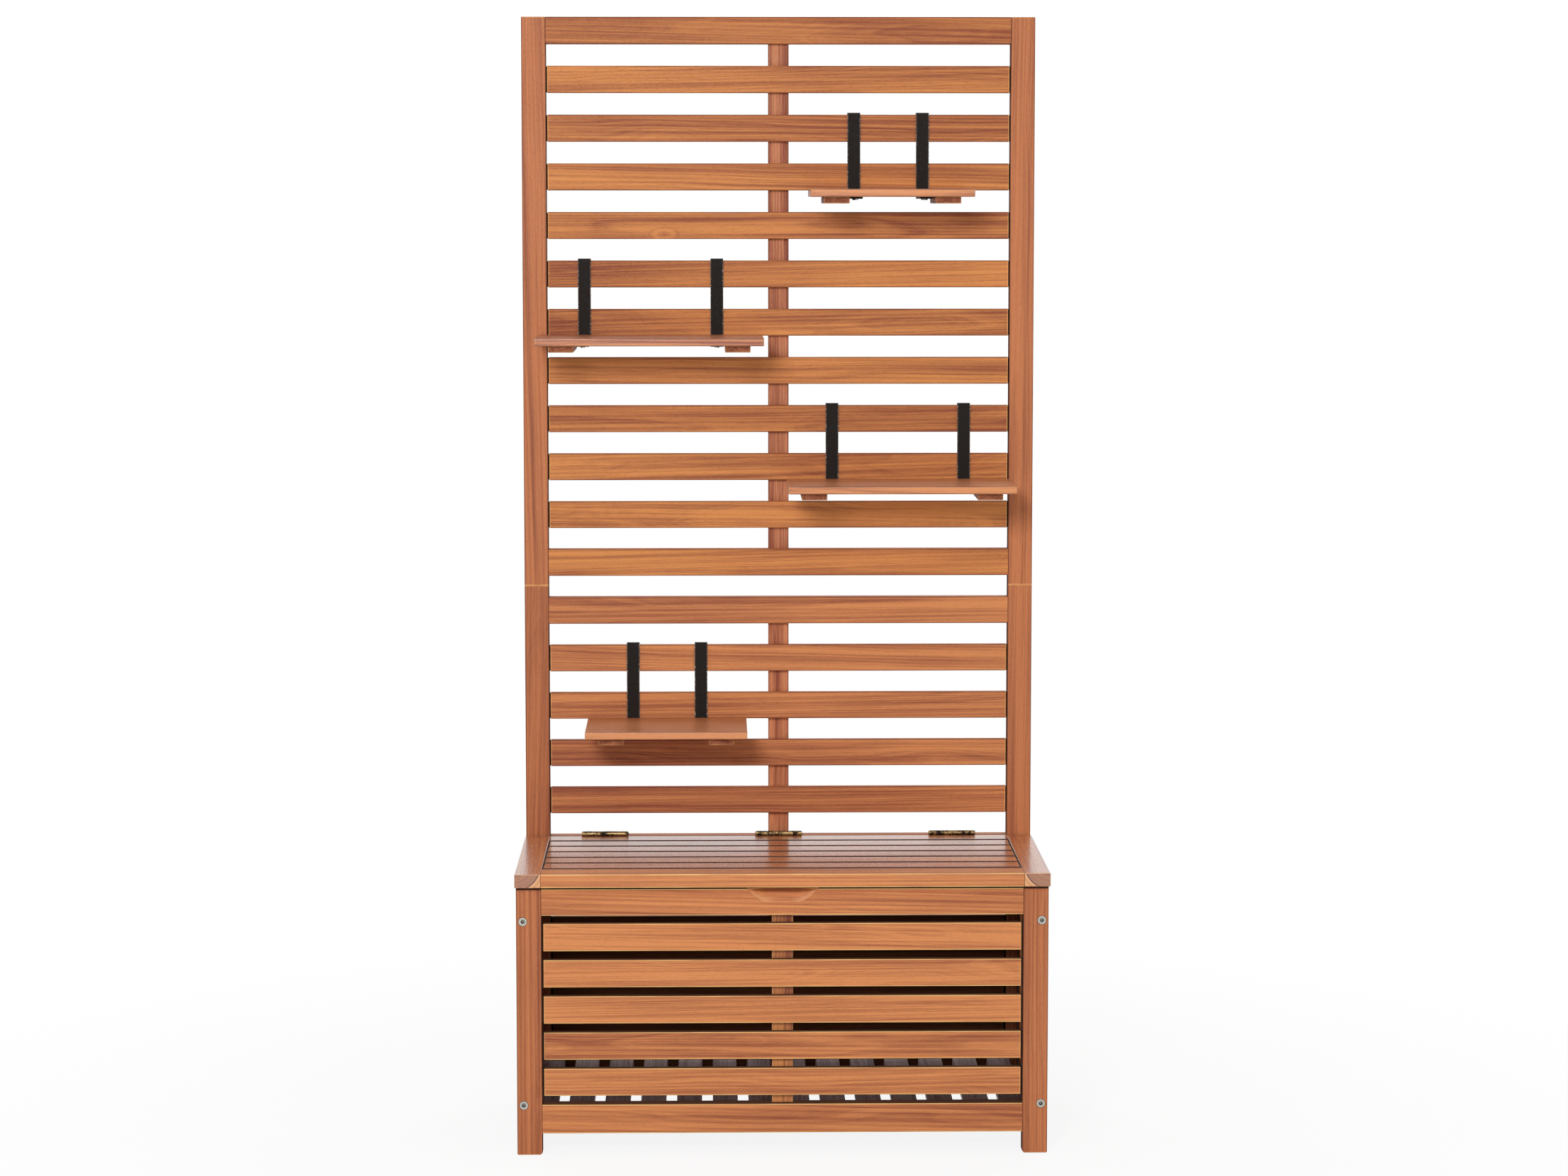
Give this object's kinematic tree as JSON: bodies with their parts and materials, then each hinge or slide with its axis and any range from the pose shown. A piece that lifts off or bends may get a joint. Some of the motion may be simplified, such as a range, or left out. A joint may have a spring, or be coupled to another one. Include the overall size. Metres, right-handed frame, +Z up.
{
  "type": "storage bench with trellis back",
  "caption": "Slatted hardwood storage box with a hinged slatted lid, a tall two-stage slatted trellis as its back, and hook-on plant shelves in two widths.",
  "frame": {"origin": "centre of the footprint, on the floor", "axes": "+X to the right seen from the front, +Y to the back, +Z up"},
  "size_m": [0.803, 0.381, 1.717],
  "materials": {
    "upright_timber": "satin oil on reddish hardwood, grain upwards",
    "rail_timber": "satin oil on orange-brown hardwood",
    "slat_timber": "satin oil on orange-brown hardwood, grain along each slat",
    "lid_timber": "satin oil, slightly glossier than the rest",
    "shelf_timber": "satin oil, hand-eased edges",
    "batten_timber": "satin oil on reddish hardwood",
    "beech_dowel": "plain",
    "blackened_steel": "matt black-brown paint, chipped at the edges",
    "antique_brass": "antique, dark in the hollows",
    "zinc_steel": "bright zinc plate"
  },
  "bodies": {
    "frame": {"barrel_nuts": "zinc_steel", "floor_bearers": "batten_timber", "floor_slats": "slat_timber", "frame_bolts": "zinc_steel", "frame_screws": "zinc_steel", "front_batten": "batten_timber", "front_bottom_rail": "rail_timber", "front_leg_left": "upright_timber", "front_leg_right": "upright_timber", "front_slats": "slat_timber", "front_top_rail": "rail_timber", "hinge_leaves_fixed": "antique_brass", "hinge_rail": "rail_timber", "joint_plates": "zinc_steel", "lower_batten": "batten_timber", "lower_post_left": "upright_timber", "lower_post_right": "upright_timber", "lower_slats": "slat_timber", "lower_top_rail": "rail_timber", "post_dowels": "beech_dowel", "rear_bottom_rail": "rail_timber", "rear_slats": "slat_timber", "side_rails_left": "rail_timber", "side_rails_right": "rail_timber", "side_slats_left": "slat_timber", "side_slats_right": "slat_timber", "side_stiles_left": "rail_timber", "side_stiles_right": "rail_timber", "upper_batten": "batten_timber", "upper_bottom_rail": "rail_timber", "upper_post_left": "upright_timber", "upper_post_right": "upright_timber", "upper_slats": "slat_timber", "upper_top_rail": "rail_timber"},
    "lid": {"lid_batten": "lid_timber", "lid_front_rail": "lid_timber", "lid_rear_rail": "lid_timber", "lid_screws": "zinc_steel", "lid_side_rail_left": "lid_timber", "lid_side_rail_right": "lid_timber", "lid_slats": "lid_timber", "hinge_leaves_lid": "antique_brass", "hinge_pins": "antique_brass"},
    "shelf_upper_right": {"shelf_upper_right_board": "shelf_timber", "shelf_upper_right_cleats": "shelf_timber", "shelf_upper_right_hooks": "blackened_steel", "shelf_upper_right_screws": "zinc_steel"},
    "shelf_upper_left": {"shelf_upper_left_board": "shelf_timber", "shelf_upper_left_cleats": "shelf_timber", "shelf_upper_left_hooks": "blackened_steel", "shelf_upper_left_screws": "zinc_steel"},
    "shelf_middle_right": {"shelf_middle_right_board": "shelf_timber", "shelf_middle_right_cleats": "shelf_timber", "shelf_middle_right_hooks": "blackened_steel", "shelf_middle_right_screws": "zinc_steel"},
    "shelf_lower_left": {"shelf_lower_left_board": "shelf_timber", "shelf_lower_left_cleats": "shelf_timber", "shelf_lower_left_hooks": "blackened_steel", "shelf_lower_left_screws": "zinc_steel"}
  },
  "joints": [
    {"name": "lid_hinge", "type": "hinge", "parent": "frame", "child": "lid", "pos_m": [0, 0.16525, 0.4339], "axis": [-1, 0, 0], "range_deg": [0, 45]},
    {"name": "upper_right_lift", "type": "slide", "parent": "frame", "child": "shelf_upper_right", "axis": [0, 0, 1], "range_m": [0, 0.03]},
    {"name": "upper_left_lift", "type": "slide", "parent": "frame", "child": "shelf_upper_left", "axis": [0, 0, 1], "range_m": [0, 0.03]},
    {"name": "middle_right_lift", "type": "slide", "parent": "frame", "child": "shelf_middle_right", "axis": [0, 0, 1], "range_m": [0, 0.03]},
    {"name": "lower_left_lift", "type": "slide", "parent": "frame", "child": "shelf_lower_left", "axis": [0, 0, 1], "range_m": [0, 0.03]}
  ]
}
